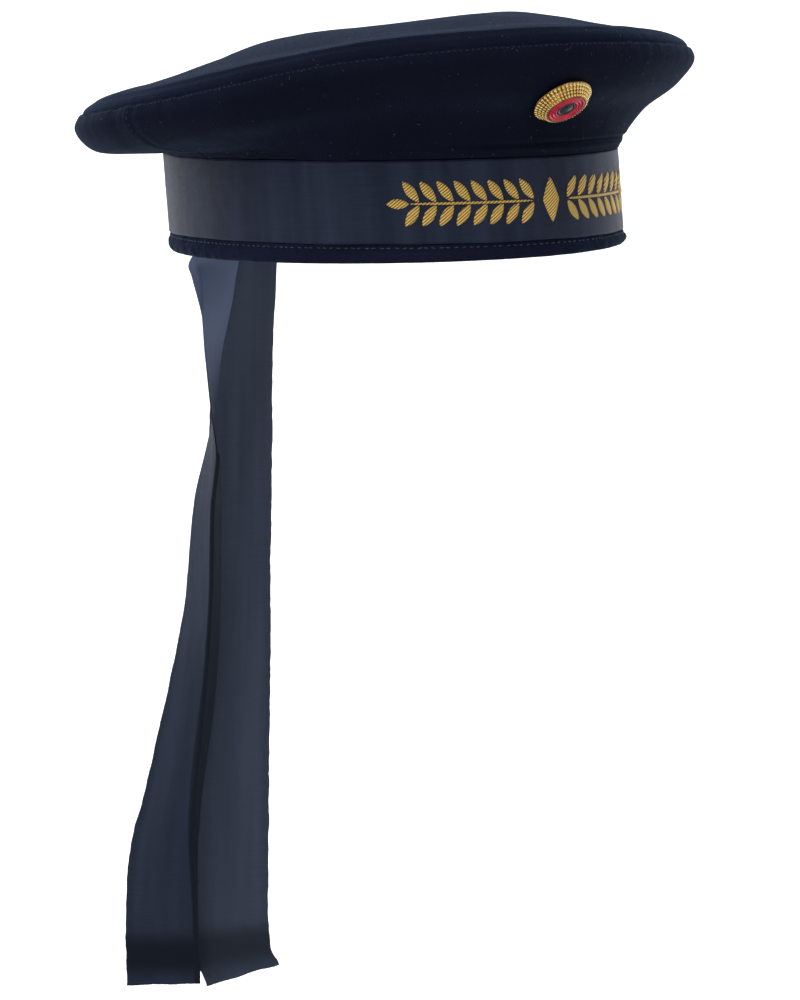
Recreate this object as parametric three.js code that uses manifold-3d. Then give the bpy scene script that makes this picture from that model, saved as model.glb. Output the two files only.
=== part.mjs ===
// Sailor cap with a soft tilted crown, a head band, a ribbon and two hanging ribbon tails.
// Millimetres, +Z up. The origin is the middle of the rim plane, where the cap sits on a head.
// The wearer looks along -Y, so +X is the wearer's left. A turn of 0 degrees is the front of the
// cap, and turns grow towards the wearer's left.
import * as THREE from 'three';
import { mergeVertices } from 'three/addons/utils/BufferGeometryUtils.js';
import Module from 'manifold-3d';

// Head band and what is sewn on it
const BAND_LENGTH = 203.6; // front to back, outside the band cloth
const BAND_WIDTH = 171.2; // side to side
const BAND_WALL = 3.0;
const BAND_BOTTOM = 6.6;
const BAND_TOP = 40.4;
const BAND_LEAN = 0.1; // the band leans back this much for each millimetre of height
const BAND_CENTRED = 25.0; // the height where the leaning band is centred on the axis
const HEM_HEIGHT = 6.3;
const HEM_PROUD = 1.8; // how far the rolled hem stands out from the band cloth
const HEM_DIP = 1.3; // the hem dips by this much on the wearer's right and rises on the left
const HEM_DIP_TURN = 255;
const HEM_SHOULDER = 0.6; // rounding of the hem's edges, as two bevels
const HEM_CROWN = 0.3;
const RIBBON_WIDTH = 32.0;
const RIBBON_BOTTOM = 6.8;
const CLOTH_GAP = 0.3; // between two pieces that are sewn together
const RIBBON_THICKNESS = 1.0;

// Crown. A section is a curve through rows that are counted from the foot, 0, to the axis.
const CROWN_WALL = 2.0;
const CROWN_FOOT = 39.2; // the side panel comes down over the top of the band to here
const FOOT_OUTSIDE = 2.6; // its outside there, from the band cloth
const TOP_HEIGHT = 71.0; // of the tilted plane through the crown's rim, on the axis
const TOP_SLOPE = 0.131; // the plane rises this much for each millimetre towards the front
const CENTRE_LIFT = 16.3; // how far the dome stands above that plane on the axis
const SECTION_END = 10; // the last row of a section, on the axis
const SEAM_AT = 4.5; // the row where the top panel meets the side panel, between two rows
const SEAM_HALF_GAP = 0.016;

// Crown sections by direction. Each is a curve from the head band out round the rim to the axis.
// neck, knee, under, widest and ridge are plan distance from the axis and height. lift is the
// height above the tilted plane at 0.78, 0.6, 0.41 and 0.2 of the widest distance.
const CROWN_SECTIONS = [
  { turn: 0, neck: [103, 44], knee: [104.8, 54.2], under: [120, 66.2], widest: [126.2, 77.8],
    ridge: [120.5, 87.2], lift: [6.2, 12, 16, 16.8] },
  { turn: 53, neck: [95.2, 43.4], knee: [103.6, 53.8], under: [117.5, 64.4], widest: [124.2, 74],
    ridge: [117, 81.8], lift: [4.7, 11.7, 17.2, 17.5] },
  { turn: 90, neck: [89.5, 43.6], knee: [97, 51.5], under: [113, 60.5], widest: [121, 70],
    ridge: [113.5, 78.3], lift: [5.3, 11.5, 16, 17] },
  { turn: 143, neck: [98.5, 43.2], knee: [103, 48.5], under: [116, 54.5], widest: [123.5, 63.5],
    ridge: [116, 70.5], lift: [4, 10, 15.5, 16.6] },
  { turn: 180, neck: [106.5, 42.5], knee: [110, 45.5], under: [119, 50], widest: [126, 58],
    ridge: [118, 65.2], lift: [3, 9.5, 15.3, 16.6] },
  { turn: 233, neck: [98, 40.2], knee: [107, 39.7], under: [121.5, 41.2], widest: [128.6, 50],
    ridge: [119.5, 60.6], lift: [1.5, 8.1, 15.5, 17.4] },
  { turn: 276, neck: [90.5, 41.6], knee: [98, 43.4], under: [113, 48], widest: [122, 58],
    ridge: [116, 68.3], lift: [2.4, 9, 14.6, 16.6] },
  { turn: 318, neck: [97.5, 43.5], knee: [103, 52.5], under: [115.5, 63], widest: [123, 73.5],
    ridge: [118, 82.3], lift: [5, 10, 13.8, 15.6] },
];
const LIFT_PLACES = [0.78, 0.6, 0.41, 0.2];
const TURNS = 64; // facets round the cap
const SIDE_PLACES = [0, 0.5, 1, 1.5, 2, 2.5, 3, 3.3, 3.65, 4, 4.25, SEAM_AT - SEAM_HALF_GAP];
const TOP_PLACES = [SEAM_AT + SEAM_HALF_GAP, 4.75, 5, 5.35, 5.8, 6.3, 7, 7.7, 8.4, 9.2];
const TURN_NUDGE = 0.5; // degrees, to find the way the cloth faces
const PLACE_NUDGE = 0.02; // rows of the section, for the same

// Tails: the centre line from the top down, the turn of the cloth about it, how far its middle
// stands back from its edges, and how far its ends are cut off the level
const TAIL_WIDTH = 33.0;
const TAIL_THICKNESS = 1.0;
const TAIL_COLUMNS = 4;
const TAIL_ROWS = 26;
const TAIL_BEYOND = 20; // a table goes on unchanged for this far past each end
const TAIL_LEFT = [
  { z: 37, x: 2, y: 107.2, turn: 0, cup: 1.7, slant: 0 },
  { z: 4, x: 1.8, y: 108.1, turn: 0, cup: 1.5, slant: 0 },
  { z: -18, x: 2.4, y: 110.4, turn: 0, cup: 0.8, slant: 0 },
  { z: -51, x: 2.0, y: 112.9, turn: 0, cup: 0, slant: 0 },
  { z: -95, x: -0.5, y: 112.2, turn: -1, cup: 0, slant: 0 },
  { z: -162, x: -5.5, y: 110.9, turn: -10, cup: 0, slant: 0 },
  { z: -252, x: -8.8, y: 112.9, turn: -21, cup: 0, slant: 0 },
  { z: -305, x: -10.6, y: 113.7, turn: -28, cup: 0, slant: 0.4 },
  { z: -320, x: -9.9, y: 113.1, turn: -30, cup: 0, slant: 1.6 },
  { z: -331, x: -7.2, y: 111.1, turn: -31, cup: 0, slant: 4 },
];
const TAIL_RIGHT = [
  { z: 37, x: -20, y: 102.8, turn: 16, cup: 1.9, slant: 0 },
  { z: 4, x: -20, y: 102.9, turn: 16, cup: 1.7, slant: 0 },
  { z: -17, x: -20.5, y: 102, turn: 25, cup: 0.8, slant: 0 },
  { z: -30, x: -21.9, y: 99.3, turn: 33, cup: 0, slant: 0 },
  { z: -49.5, x: -24.4, y: 96.9, turn: 43, cup: 0, slant: 0 },
  { z: -75, x: -25, y: 97, turn: 53.5, cup: 0, slant: 0 },
  { z: -93, x: -25.9, y: 97.5, turn: 64, cup: 0, slant: 0 },
  { z: -115, x: -27, y: 101.1, turn: 72, cup: 0, slant: 0 },
  { z: -159, x: -27.6, y: 106.1, turn: 81, cup: 0, slant: 0 },
  { z: -204, x: -30.4, y: 113.1, turn: 94, cup: 0, slant: 0 },
  { z: -249, x: -36.8, y: 119.1, turn: 106, cup: 0, slant: 0 },
  { z: -272, x: -39.7, y: 122.4, turn: 121, cup: 0, slant: 0 },
  { z: -308, x: -41.2, y: 123.7, turn: 137, cup: 0, slant: 0 },
  { z: -333, x: -41.5, y: 124, turn: 143, cup: 0, slant: 0 },
];

// Cockade at the front of the crown
const COCKADE_TURN = -1.9; // degrees round the crown
const COCKADE_PLACE = 2.63; // rows of the section
const COCKADE_CLEAR = 0.95; // from its base to the cloth, over the middle of the base
const COCKADE_TIP = 53; // degrees that its face is turned down from facing straight ahead
const COCKADE_BASE = 24.0;
const COCKADE_FACE = 16.4;
const COCKADE_HEIGHT = 4.8;
const COCKADE_FLUTES = 44;
const SHEET = 0.8; // the stamped metal of the cup
const RECESS = 1.2; // depth of the recess that holds the enamel
const LIP = 0.4;
const RING_INNER = 7.8;
const ENAMEL_GAP = 0.1;
const PIN_DIAMETER = 1.4;
const PIN_HOLE = 2.2;
const PIN_HEAD = 6.0;
const PIN_REACH = 5.0; // from the cup's base to the far side of the pin's head
const HEAD_THICKNESS = 0.6;
const ENAMEL_SWELL = 0.25; // the enamel stands proud of the rim by this
const PIN_SIDES = 12;

const radians = THREE.MathUtils.degToRad;

// Plan direction of a turn
function direction(turn) {
  return new THREE.Vector2(Math.sin(radians(turn)), -Math.cos(radians(turn)));
}

// Distance from the axis to an oval that runs this far outside the band cloth
function bandOval(turn, outside) {
  const along = direction(turn);
  const halfWidth = BAND_WIDTH / 2 + outside;
  const halfLength = BAND_LENGTH / 2 + outside;
  return 1 / Math.hypot(along.x / halfWidth, along.y / halfLength);
}

// How far back the leaning band is at a height
function bandShift(height) {
  return BAND_LEAN * (height - BAND_CENTRED);
}

// Smooth value between the rows of a table that closes on itself
function roundTable(anyTurn, read) {
  const turn = ((anyTurn % 360) + 360) % 360;
  const rows = CROWN_SECTIONS.length;
  let row = rows - 1;
  while (CROWN_SECTIONS[row].turn > turn) row -= 1;
  const at = (index) => {
    const laps = Math.floor(index / rows);
    const section = CROWN_SECTIONS[index - laps * rows];
    return { turn: section.turn + 360 * laps, value: read(section) };
  };
  return hermite(at(row - 1), at(row), at(row + 1), at(row + 2), turn, 'turn');
}

// Cubic through two middle rows, with the slopes that their neighbours give
function hermite(before, start, end, after, place, key) {
  const span = end[key] - start[key];
  const part = (place - start[key]) / span;
  const slopeStart = ((end.value - before.value) / (end[key] - before[key])) * span;
  const slopeEnd = ((after.value - start.value) / (after[key] - start[key])) * span;
  const square = part * part;
  const cube = square * part;
  return (2 * cube - 3 * square + 1) * start.value + (cube - 2 * square + part) * slopeStart
    + (3 * square - 2 * cube) * end.value + (cube - square) * slopeEnd;
}

// Section of the crown's outside in one direction, as a curve of plan distance and height
function crownSection(turn) {
  const read = (name, axis) => roundTable(turn, (section) => section[name][axis]);
  const point = (name) => new THREE.Vector3(read(name, 0), 0, read(name, 1));
  const foot = bandOval(turn, FOOT_OUTSIDE) + direction(turn).y * bandShift(CROWN_FOOT);
  const points = [new THREE.Vector3(foot, 0, CROWN_FOOT)];
  for (const name of ['neck', 'knee', 'under', 'widest', 'ridge']) points.push(point(name));
  const reach = read('widest', 0);
  const rise = -direction(turn).y * TOP_SLOPE;
  LIFT_PLACES.forEach((place, index) => {
    const distance = place * reach;
    points.push(new THREE.Vector3(distance, 0, TOP_HEIGHT + rise * distance + read('lift', index)));
  });
  points.push(new THREE.Vector3(0, 0, TOP_HEIGHT + CENTRE_LIFT));
  return new THREE.CatmullRomCurve3(points, false, 'centripetal');
}

// Point of the crown's outside: a turn, and a place counted in rows of the section
function crownPoint(section, turn, place) {
  const flat = section.getPoint(THREE.MathUtils.clamp(place / SECTION_END, 0, 1));
  const along = direction(turn);
  return new THREE.Vector3(along.x * flat.x, along.y * flat.x, flat.z);
}

// Body from rings of points that each go round the same way. Each ring joins the next. The last
// joins the first, or else the first and the last are flat ends.
function ringBody(rings, closed) {
  const count = rings[0].length;
  const corners = rings.flat().flatMap((point) => point.toArray());
  const faces = [];
  const last = closed ? rings.length : rings.length - 1;
  for (let ring = 0; ring < last; ring += 1) {
    const here = ring * count;
    const next = ((ring + 1) % rings.length) * count;
    for (let step = 0; step < count; step += 1) {
      const after = (step + 1) % count;
      faces.push(here + step, here + after, next + after);
      faces.push(here + step, next + after, next + step);
    }
  }
  if (!closed) {
    for (let step = 1; step < count - 1; step += 1) {
      faces.push(0, step + 1, step);
      const end = (rings.length - 1) * count;
      faces.push(end, end + step, end + step + 1);
    }
  }
  const geometry = new THREE.BufferGeometry();
  geometry.setAttribute('position', new THREE.Float32BufferAttribute(corners, 3));
  geometry.setIndex(faces);
  return outward(geometry);
}

// Turns the faces out if the body's volume comes out negative
function outward(geometry) {
  const place = geometry.getAttribute('position');
  const index = geometry.getIndex();
  const [a, b, c] = [new THREE.Vector3(), new THREE.Vector3(), new THREE.Vector3()];
  let volume = 0;
  for (let face = 0; face < index.count; face += 3) {
    a.fromBufferAttribute(place, index.getX(face));
    b.fromBufferAttribute(place, index.getX(face + 1));
    c.fromBufferAttribute(place, index.getX(face + 2));
    volume += a.dot(b.cross(c));
  }
  if (volume < 0) index.array.reverse();
  geometry.computeVertexNormals();
  return geometry;
}

// Ring round the band with a section given as pairs: how far outside the band cloth, and height
function bandRing(section) {
  const rings = [];
  for (let step = 0; step < TURNS; step += 1) {
    const turn = (360 * step) / TURNS;
    const along = direction(turn);
    rings.push(section.map(([outside, height, dip = 0]) => {
      const distance = bandOval(turn, outside);
      const lower = dip * Math.cos(radians(turn - HEM_DIP_TURN));
      return new THREE.Vector3(
        along.x * distance,
        along.y * distance + bandShift(height),
        height - lower,
      );
    }));
  }
  return ringBody(rings, true);
}

// Way that the crown's outside faces at a turn and a place
function crownFacing(turn, place) {
  const before = crownSection(turn - TURN_NUDGE);
  const after = crownSection(turn + TURN_NUDGE);
  const here = crownSection(turn);
  const across = crownPoint(after, turn + TURN_NUDGE, place)
    .sub(crownPoint(before, turn - TURN_NUDGE, place));
  const up = crownPoint(here, turn, place + PLACE_NUDGE)
    .sub(crownPoint(here, turn, place - PLACE_NUDGE));
  return across.cross(up).normalize();
}

// Cloth of the crown along a list of places of the section, as a wall of even thickness
function crownShell(places, toAxis) {
  const grid = [];
  const inside = [];
  for (let step = 0; step < TURNS; step += 1) {
    const turn = (360 * step) / TURNS;
    const section = crownSection(turn);
    const line = places.map((place) => crownPoint(section, turn, place));
    grid.push(line);
    inside.push(line.map((point, row) => point.clone()
      .addScaledVector(crownFacing(turn, places[row]), -CROWN_WALL)));
  }
  if (!toAxis) {
    return ringBody(grid.map((line, step) => [...line, ...inside[step].reverse()]), true);
  }
  return discBody(grid, inside, places.length);
}

// Closed body from two sheets that both end on the axis
function discBody(outside, inside, rows) {
  const corners = [];
  const index = (step, row, layer) => ((step % TURNS) * rows + row) * 2 + layer;
  for (let step = 0; step < TURNS; step += 1) {
    for (let row = 0; row < rows; row += 1) {
      corners.push(...outside[step][row].toArray(), ...inside[step][row].toArray());
    }
  }
  const apex = TURNS * rows * 2;
  const top = TOP_HEIGHT + CENTRE_LIFT;
  corners.push(0, 0, top, 0, 0, top - CROWN_WALL);
  const faces = [];
  for (let step = 0; step < TURNS; step += 1) {
    for (let row = 0; row < rows - 1; row += 1) {
      const [a, b] = [index(step, row, 0), index(step + 1, row, 0)];
      faces.push(a, b, b + 2, a, b + 2, a + 2);
      faces.push(a + 1, b + 3, b + 1, a + 1, a + 3, b + 3);
    }
    const [a, b] = [index(step, 0, 0), index(step + 1, 0, 0)];
    faces.push(a, a + 1, b + 1, a, b + 1, b);
    const [c, d] = [index(step, rows - 1, 0), index(step + 1, rows - 1, 0)];
    faces.push(c, d, apex, c + 1, apex + 1, d + 1);
  }
  const geometry = new THREE.BufferGeometry();
  geometry.setAttribute('position', new THREE.Float32BufferAttribute(corners, 3));
  geometry.setIndex(faces);
  return outward(geometry);
}

// Value of one column of a tail's table at a height
function tailValue(table, height, column) {
  let row = 0;
  while (row < table.length - 2 && table[row + 1].z > height) row += 1;
  const at = (index) => {
    const line = table[THREE.MathUtils.clamp(index, 0, table.length - 1)];
    const beyond = index - THREE.MathUtils.clamp(index, 0, table.length - 1);
    return { z: line.z - beyond * TAIL_BEYOND, value: line[column] };
  };
  return hermite(at(row - 1), at(row), at(row + 1), at(row + 2), height, 'z');
}

// Ribbon tail that follows its table
function tail(table) {
  const top = table[0].z;
  const bottom = table[table.length - 1].z;
  const rings = [];
  for (let row = 0; row <= TAIL_ROWS; row += 1) {
    const height = top + ((bottom - top) * row) / TAIL_ROWS;
    const turn = radians(tailValue(table, height, 'turn'));
    const cup = tailValue(table, height, 'cup');
    const slant = tailValue(table, height, 'slant');
    const centre = new THREE.Vector3(tailValue(table, height, 'x'), tailValue(table, height, 'y'), height);
    const across = new THREE.Vector3(Math.cos(turn), Math.sin(turn), 0);
    const back = new THREE.Vector3(-Math.sin(turn), Math.cos(turn), 0);
    const ring = [];
    for (const side of [-1, 1]) {
      for (let column = 0; column <= TAIL_COLUMNS; column += 1) {
        const part = (side * (2 * column - TAIL_COLUMNS)) / TAIL_COLUMNS;
        ring.push(centre.clone()
          .addScaledVector(across, (part * TAIL_WIDTH) / 2)
          .addScaledVector(back, -cup * part * part + (side * TAIL_THICKNESS) / 2)
          .add(new THREE.Vector3(0, 0, slant * part)));
      }
    }
    rings.push(ring);
  }
  return ringBody(rings, false);
}

const DARK_WOOL = { color: 0x141a24, roughness: 0.95, metalness: 0 };
const HEM_WOOL = { color: 0x181b33, roughness: 1, metalness: 0 };
const SLATE_SATIN = { color: 0x2a2e3a, roughness: 0.55, metalness: 0 };
const GILT = { color: 0xc8a550, roughness: 0.3, metalness: 1 };
const RED_ENAMEL = { color: 0xc62f42, roughness: 0.25, metalness: 0 };
const BLACK_ENAMEL = { color: 0x101114, roughness: 0.3, metalness: 0 };

const cap = new THREE.Group();

function addPiece(parent, name, geometry, finish) {
  const mesh = new THREE.Mesh(geometry, new THREE.MeshStandardMaterial(finish));
  mesh.name = name;
  parent.add(mesh);
}

addPiece(cap, 'head_band', bandRing([
  [0, BAND_BOTTOM], [0, BAND_TOP], [-BAND_WALL, BAND_TOP], [-BAND_WALL, BAND_BOTTOM],
]), DARK_WOOL);
addPiece(cap, 'hem_roll', bandRing([
  [HEM_PROUD - 2 * HEM_SHOULDER, 0, HEM_DIP], [HEM_PROUD - HEM_CROWN, HEM_SHOULDER, HEM_DIP],
  [HEM_PROUD, HEM_HEIGHT / 2],
  [HEM_PROUD - HEM_CROWN, HEM_HEIGHT - HEM_SHOULDER], [HEM_PROUD - 2 * HEM_SHOULDER, HEM_HEIGHT],
  [-BAND_WALL, HEM_HEIGHT], [-BAND_WALL, 0, HEM_DIP],
]), HEM_WOOL);
const ribbonInside = CLOTH_GAP;
const ribbonOutside = CLOTH_GAP + RIBBON_THICKNESS;
const ribbonTop = RIBBON_BOTTOM + RIBBON_WIDTH;
addPiece(cap, 'cap_ribbon', bandRing([
  [ribbonOutside, RIBBON_BOTTOM], [ribbonOutside, ribbonTop],
  [ribbonInside, ribbonTop], [ribbonInside, RIBBON_BOTTOM],
]), SLATE_SATIN);
addPiece(cap, 'tail_left', tail(TAIL_LEFT), SLATE_SATIN);
addPiece(cap, 'tail_right', tail(TAIL_RIGHT), SLATE_SATIN);

// Body turned about the +Z axis from a closed outline of radius and height
function turned(outline, sides) {
  const profile = outline.map(([radius, height]) => new THREE.Vector2(radius, height));
  const lathe = new THREE.LatheGeometry(profile, sides);
  lathe.deleteAttribute('normal');
  lathe.deleteAttribute('uv');
  lathe.rotateX(Math.PI / 2);
  return outward(mergeVertices(lathe, 1e-4));
}

// The cockade is made facing +Z and then turned to lie on the crown
const cockadeFoot = crownPoint(crownSection(COCKADE_TURN), COCKADE_TURN, COCKADE_PLACE);
const cockade = new THREE.Group();
cockade.position.copy(cockadeFoot)
  .addScaledVector(crownFacing(COCKADE_TURN, COCKADE_PLACE), COCKADE_CLEAR);
cockade.rotation.x = radians(90 + COCKADE_TIP);
cap.add(cockade);
cap.updateMatrixWorld(true);

const baseRadius = COCKADE_BASE / 2;
const faceRadius = COCKADE_FACE / 2;
const recessRadius = faceRadius - LIP;
const floorTop = COCKADE_HEIGHT - RECESS;
const floorUnder = floorTop - SHEET;
addPiece(cockade, 'cockade_rim', turned([
  [0, floorUnder], [recessRadius - SHEET, floorUnder], [baseRadius - 1.5 * SHEET, 0],
  [baseRadius, 0], [baseRadius, SHEET], [faceRadius, COCKADE_HEIGHT],
  [recessRadius, COCKADE_HEIGHT], [recessRadius, floorTop], [0, floorTop],
], COCKADE_FLUTES), GILT);
const ringOutside = recessRadius - ENAMEL_GAP;
const ringInside = RING_INNER / 2;
const enamelFloor = floorTop + ENAMEL_GAP;
addPiece(cockade, 'cockade_ring', turned([
  [ringInside, enamelFloor], [ringOutside, enamelFloor], [ringOutside, COCKADE_HEIGHT],
  [(ringInside + ringOutside) / 2, COCKADE_HEIGHT + ENAMEL_SWELL], [ringInside, COCKADE_HEIGHT],
  [ringInside, enamelFloor],
], COCKADE_FLUTES), RED_ENAMEL);
const centreRadius = ringInside - ENAMEL_GAP;
addPiece(cockade, 'cockade_centre', turned([
  [0, enamelFloor], [centreRadius, enamelFloor], [centreRadius, COCKADE_HEIGHT],
  [0, COCKADE_HEIGHT + ENAMEL_SWELL],
], COCKADE_FLUTES), BLACK_ENAMEL);
addPiece(cockade, 'cockade_pin', turned([
  [0, -PIN_REACH], [PIN_HEAD / 2, -PIN_REACH], [PIN_HEAD / 2, HEAD_THICKNESS - PIN_REACH],
  [PIN_DIAMETER / 2, HEAD_THICKNESS - PIN_REACH], [PIN_DIAMETER / 2, floorUnder - CLOTH_GAP],
  [0, floorUnder - CLOTH_GAP],
], PIN_SIDES), GILT);

// The side panel has a hole where the cockade's pin goes through it
const wasm = await Module();
wasm.setup();

function toSolid(geometry) {
  return new wasm.Manifold(new wasm.Mesh({
    numProp: 3,
    vertProperties: new Float32Array(geometry.getAttribute('position').array),
    triVerts: new Uint32Array(geometry.getIndex().array),
  }));
}

function toGeometry(solid) {
  const mesh = solid.getMesh();
  const geometry = new THREE.BufferGeometry();
  geometry.setAttribute('position', new THREE.BufferAttribute(mesh.vertProperties, 3));
  geometry.setIndex(new THREE.BufferAttribute(mesh.triVerts, 1));
  geometry.computeVertexNormals();
  return geometry;
}

const hole = new THREE.CylinderGeometry(PIN_HOLE / 2, PIN_HOLE / 2, 3 * PIN_REACH, PIN_SIDES);
hole.deleteAttribute('normal');
hole.deleteAttribute('uv');
hole.rotateX(Math.PI / 2);
hole.applyMatrix4(cockade.matrixWorld);
const sidePanel = toSolid(crownShell(SIDE_PLACES, false)).subtract(toSolid(mergeVertices(hole)));
addPiece(cap, 'crown_side', toGeometry(sidePanel), DARK_WOOL);
addPiece(cap, 'crown_top', crownShell(TOP_PLACES, true), DARK_WOOL);

export default cap;
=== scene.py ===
# %% [markdown]
# # A sailor cap with two hanging ribbon tails
# This lesson dresses a finished solid model of a sailor cap in cloth, thread and metal. The
# solid part is given in model.glb, so each piece here is made in the same place and at the
# same size, in metres, and only the looks are new.

# %% Load the part
import math
import random

import bmesh
import bpy
import numpy as np
from mathutils import Matrix, Quaternion, Vector, noise


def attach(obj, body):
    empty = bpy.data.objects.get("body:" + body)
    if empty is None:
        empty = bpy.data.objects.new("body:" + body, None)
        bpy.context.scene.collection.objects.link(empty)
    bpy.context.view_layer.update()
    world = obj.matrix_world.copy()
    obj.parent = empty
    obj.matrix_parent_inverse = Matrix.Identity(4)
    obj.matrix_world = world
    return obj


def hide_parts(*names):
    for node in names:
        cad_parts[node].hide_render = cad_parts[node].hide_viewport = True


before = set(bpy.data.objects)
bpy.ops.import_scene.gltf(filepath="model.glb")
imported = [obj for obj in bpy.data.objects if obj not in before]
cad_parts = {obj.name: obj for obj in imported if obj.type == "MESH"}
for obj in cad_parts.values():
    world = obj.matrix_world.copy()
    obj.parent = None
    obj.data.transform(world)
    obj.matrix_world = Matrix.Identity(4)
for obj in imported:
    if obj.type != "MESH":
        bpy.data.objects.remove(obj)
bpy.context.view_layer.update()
MM = 0.001

# %% [markdown]
# ## Camera
# The photograph looks at the cap's right front from a little above the band, from about a
# metre and a half away, with a long lens. The camera is put there and turned by one degree,
# as the photograph is.

# %% Camera
scene = bpy.context.scene
CAMERA_AT = Vector((-870.4, -1155.1, 103.2)) * MM
CAMERA_LOOKS_AT = Vector((-5.5, -10.0, -104.7)) * MM
CAMERA_LENS, CAMERA_SENSOR = 126.6, 36.0  # millimetres
CAMERA_ROLL = -1.0  # degrees


def in_scene(name, data):
    made = bpy.data.objects.new(name, data)
    scene.collection.objects.link(made)
    return made


def aim(thing, place, target, roll=0.0):
    """Put a camera or lamp at a place, so that it looks at the target. roll is in degrees."""
    thing.location = place
    thing.rotation_mode = "QUATERNION"
    sight = (Vector(target) - Vector(place)).to_track_quat("-Z", "Y")
    thing.rotation_quaternion = sight @ Quaternion((0, 0, 1), math.radians(roll))


lens = bpy.data.cameras.new("photo_camera")
lens.lens, lens.sensor_width = CAMERA_LENS, CAMERA_SENSOR
lens.clip_start, lens.clip_end = 0.05, 60.0
camera = in_scene("photo_camera", lens)
aim(camera, CAMERA_AT, CAMERA_LOOKS_AT, CAMERA_ROLL)
bpy.context.scene.camera = camera
print("the camera is", round((CAMERA_LOOKS_AT - CAMERA_AT).length, 3), "m away")

# %% [markdown]
# ## Studio
# The cap hangs in front of a white sweep. One bent sheet is both floor and wall: a square is
# pushed up at its far edge, and the fold between them is rounded off with a wide bevel, so no
# corner shows. The floor lies far below the cap, and a painted shadow darkens it in a soft pool
# that the camera doesn't see. Little light then comes up from it, and the flaring side stays as
# dark as navy wool is. A large panel above gives the light on the crown, and tall panels give
# the soft edges at the sides.

# %% Studio sweep
FLOOR_AT, SWEEP_HALF, SWEEP_HIGH, SWEEP_BEND = -2.4, 5.65, 8.5, 2.1
SWEEP_TURN = -37  # degrees, so that its wall faces the camera
# painted shadow on the floor: darkest near the spot below the cap, white again farther out
POOL_DARK, POOL_ENDS = 1.7, 4.5  # metres from the spot below the cap
PAINTED_SHADOW_TONE, SWEEP_SHADE, SWEEP_GLOW = 0.12, 0.95, 0.98
scene.view_settings.view_transform = "Standard"


def spread(nodes, links, value, way, **ends):
    """The value moved to another range. ends are Map Range's sockets, such as From_Min."""
    node = nodes.new("ShaderNodeMapRange")
    node.interpolation_type = way
    for name, end in ends.items():
        node.inputs[name.replace("_", " ")].default_value = end
    links.new(value, node.inputs["Value"])
    return node.outputs["Result"]


def sweep_finish():
    """White, but for a painted shadow: a soft dark pool on the floor round the spot below the cap.
    """
    made = bpy.data.materials.new("sweep_white_and_painted_shadow")
    made.use_nodes = True
    nodes, links = made.node_tree.nodes, made.node_tree.links
    place = nodes.new("ShaderNodeTexCoord").outputs["Object"]
    plan = nodes.new("ShaderNodeMapping")
    plan.inputs["Scale"].default_value = (1, 1, 0)
    links.new(place, plan.inputs["Vector"])
    away = nodes.new("ShaderNodeVectorMath")
    away.operation = "LENGTH"
    links.new(plan.outputs["Vector"], away.inputs[0])
    # painted shadow: the pool darkens both the colour and the glow of the floor
    pool = spread(nodes, links, away.outputs["Value"], "SMOOTHERSTEP", From_Min=POOL_DARK,
                  From_Max=POOL_ENDS, To_Min=PAINTED_SHADOW_TONE, To_Max=SWEEP_SHADE)
    shader = nodes["Principled BSDF"]
    shader.inputs["Roughness"].default_value = 0.9
    shader.inputs["Emission Strength"].default_value = SWEEP_GLOW
    for socket in ("Base Color", "Emission Color"):
        links.new(pool, shader.inputs[socket])
    return made


def finished(name, shape, finish):
    """The shape as a smooth piece in the scene, with its finish on."""
    for face in shape.faces:
        face.smooth = True
    mesh = bpy.data.meshes.new(name)
    shape.to_mesh(mesh)
    shape.free()
    mesh.materials.append(finish)
    print(name, "has", len(mesh.polygons), "faces")
    return in_scene(name, mesh)


def studio_sweep():
    cloth = bmesh.new()
    bmesh.ops.create_grid(cloth, x_segments=1, y_segments=1, size=SWEEP_HALF)
    bmesh.ops.translate(cloth, verts=cloth.verts, vec=(0, 0, FLOOR_AT))
    far = [e for e in cloth.edges if all(v.co.y > 0 for v in e.verts)]
    wall = bmesh.ops.extrude_edge_only(cloth, edges=far)["geom"]
    raised = [g for g in wall if isinstance(g, bmesh.types.BMVert)]
    bmesh.ops.translate(cloth, verts=raised, vec=(0, 0, SWEEP_HIGH))
    bmesh.ops.bevel(cloth, geom=far, offset=SWEEP_BEND, offset_type="OFFSET", segments=16,
                    profile=0.5, affect="EDGES", material=-1)
    bmesh.ops.rotate(cloth, verts=cloth.verts, cent=(0, 0, 0),
                     matrix=Matrix.Rotation(math.radians(SWEEP_TURN), 3, "Z"))
    finished("studio_sweep", cloth, sweep_finish())


studio_sweep()

# %% Studio lights
PANELS_LOOK_AT = (0, 0, 0.03)
ROOM_COLOUR, ROOM_GLOW = (0.9, 0.95, 1.0, 1), 0.38
SOFT_PANELS = [  # name, place, width, height, power, colour
    ("top_panel", (-0.25, -0.35, 1.25), 1.5, 1.2, 8.0, (0.93, 0.97, 1.0)),
    ("back_left_panel", (-1.35, 0.55, 0.75), 1.0, 1.2, 7.0, (0.86, 0.93, 1.0)),
    ("right_panel", (1.25, -0.35, 0.15), 0.8, 1.6, 1.6, (0.72, 0.86, 1.0)),
    ("front_panel", (-1.5, -1.3, 0.0), 0.9, 1.3, 4.2, (0.92, 0.96, 1.0)),
]


def soft_panel(name, place, width, height, power, colour):
    light = bpy.data.lights.new(name, "AREA")
    light.shape = "RECTANGLE"
    light.size, light.size_y = width, height
    light.energy = power
    light.color = colour
    aim(in_scene(name, light), place, PANELS_LOOK_AT)


for panel in SOFT_PANELS:
    soft_panel(*panel)

room = bpy.data.worlds.new("white_room")
room.use_nodes = True
room.node_tree.nodes["Background"].inputs["Color"].default_value = ROOM_COLOUR
room.node_tree.nodes["Background"].inputs["Strength"].default_value = ROOM_GLOW
scene.world = room

# %% [markdown]
# ## The cap's pattern
# A sailor cap is sewn from a stiff head band, a side panel that flares out from it, and a flat
# top panel that is wider than the head. The crown is described by sections: eight directions
# round the cap, each a curve that runs from the band, round the rim and up to the middle. All
# of the cloth is placed by asking for a turn round the cap and a row of the section.

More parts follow.
